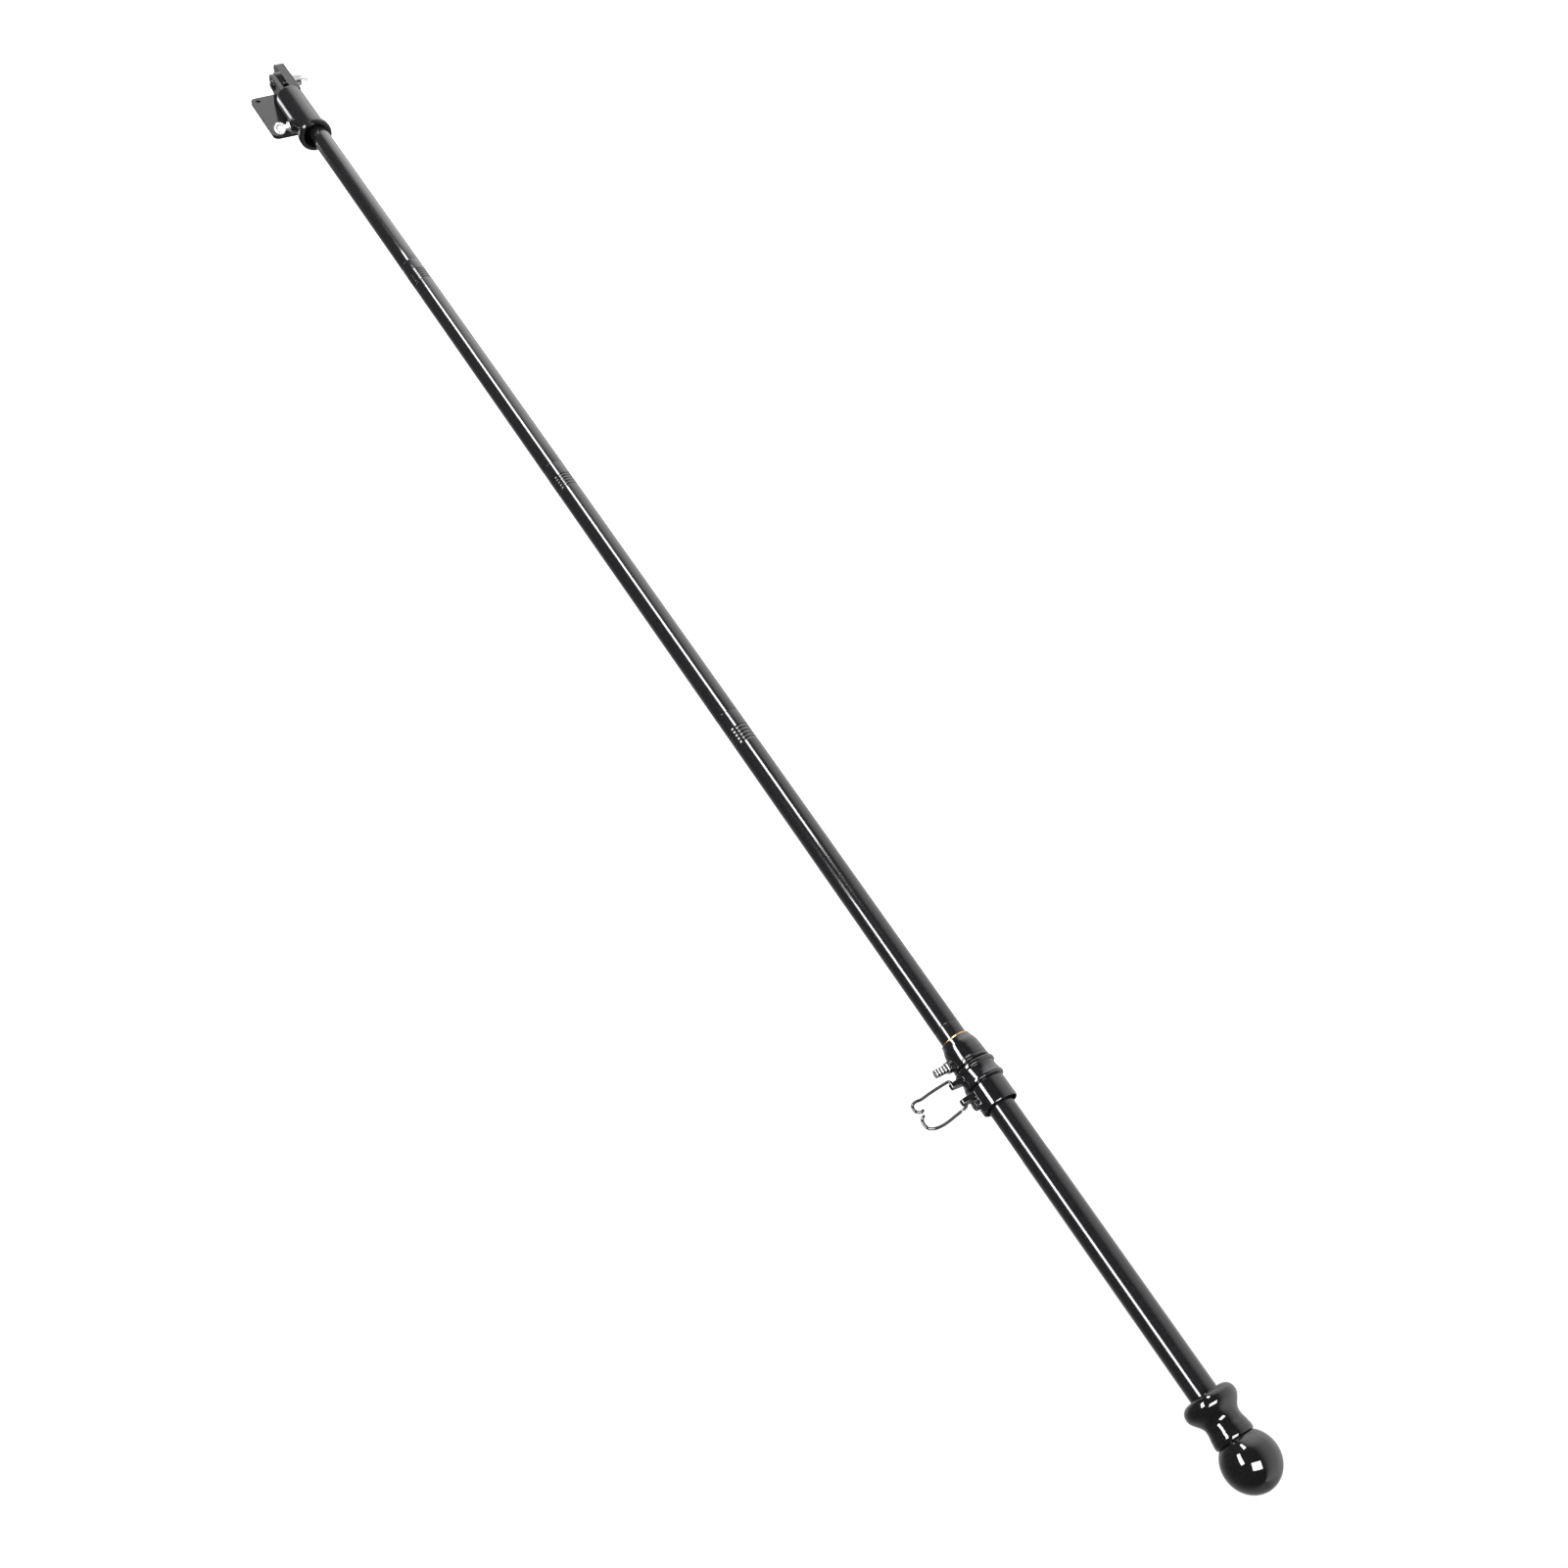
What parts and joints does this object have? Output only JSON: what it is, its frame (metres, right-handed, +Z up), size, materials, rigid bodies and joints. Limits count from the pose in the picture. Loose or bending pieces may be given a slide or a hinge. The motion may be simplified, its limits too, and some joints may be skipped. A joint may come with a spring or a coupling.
{
  "type": "sectional flagpole with adjustable wall bracket",
  "caption": "Thin black tubular flagpole with a tilting wall bracket, a swivelling flag ring with a wire clip, and a ball finial.",
  "frame": {"origin": "centre of the wall plate's flat back face", "axes": "+Z up along the pole at rest, -Y straight out from the wall, +X to the right seen from the front, along the pivot bolt"},
  "size_m": [0.0794, 0.0567, 1.6323],
  "materials": {
    "bracket_black": "gloss",
    "pole_black": "gloss",
    "ring_black": "gloss",
    "finial_black": "gloss",
    "bright_steel": "polished",
    "clip_chrome": "polished",
    "dark_steel": "satin",
    "liner_brass": "satin"
  },
  "bodies": {
    "base": {"bracket_base": "bracket_black"},
    "pole": {"bracket_socket": "bracket_black", "pivot_bolt": "bright_steel", "nut_washer": "bright_steel", "pole_section_1": "pole_black", "pole_section_2": "pole_black", "pole_section_3": "pole_black", "pole_section_4": "pole_black", "pole_section_5": "pole_black", "ring_liner": "liner_brass", "ring_sleeve": "ring_black", "ring_retainer": "dark_steel", "finial_base": "finial_black", "finial_ball": "finial_black"},
    "wing": {"wing_nut": "bright_steel"},
    "socket_screw": {"socket_thumbscrew": "bright_steel"},
    "sleeve_screw": {"sleeve_thumbscrew": "bright_steel"},
    "swivel": {"swivel_ring": "ring_black", "swivel_collar": "ring_black", "collar_screw": "dark_steel"},
    "clip": {"clip_frame": "clip_chrome", "clip_root": "clip_chrome"},
    "gate": {"clip_gate": "clip_chrome"}
  },
  "joints": [
    {"name": "bracket_tilt", "type": "hinge", "parent": "base", "child": "pole", "pos_m": [0, -0.038, 0], "axis": [1, 0, 0], "range_deg": [0, 180]},
    {"name": "wing_nut_turn", "type": "hinge", "parent": "pole", "child": "wing", "pos_m": [-0.018, -0.038, 0], "axis": [1, 0, 0], "continuous": true},
    {"name": "socket_screw_turn", "type": "hinge", "parent": "pole", "child": "socket_screw", "pos_m": [0.02, -0.038, 0.077], "axis": [1, 0, 0], "continuous": true},
    {"name": "sleeve_screw_turn", "type": "hinge", "parent": "pole", "child": "sleeve_screw", "pos_m": [0.015, -0.038, 1.2752], "axis": [1, 0, 0], "continuous": true},
    {"name": "ring_swivel", "type": "hinge", "parent": "pole", "child": "swivel", "pos_m": [-0.00313, -0.038, 1.28], "axis": [0, 0, 1], "continuous": true},
    {"name": "clip_swing", "type": "hinge", "parent": "swivel", "child": "clip", "pos_m": [0.01735, -0.038, 1.29], "axis": [0, 0, 1], "range_deg": [-80, 80]},
    {"name": "clip_gate_open", "type": "hinge", "parent": "clip", "child": "gate", "pos_m": [0.0222, -0.038, 1.30575], "axis": [0, -1, 0], "range_deg": [0, 20], "stiffness_Nm_per_rad": 0.03}
  ]
}
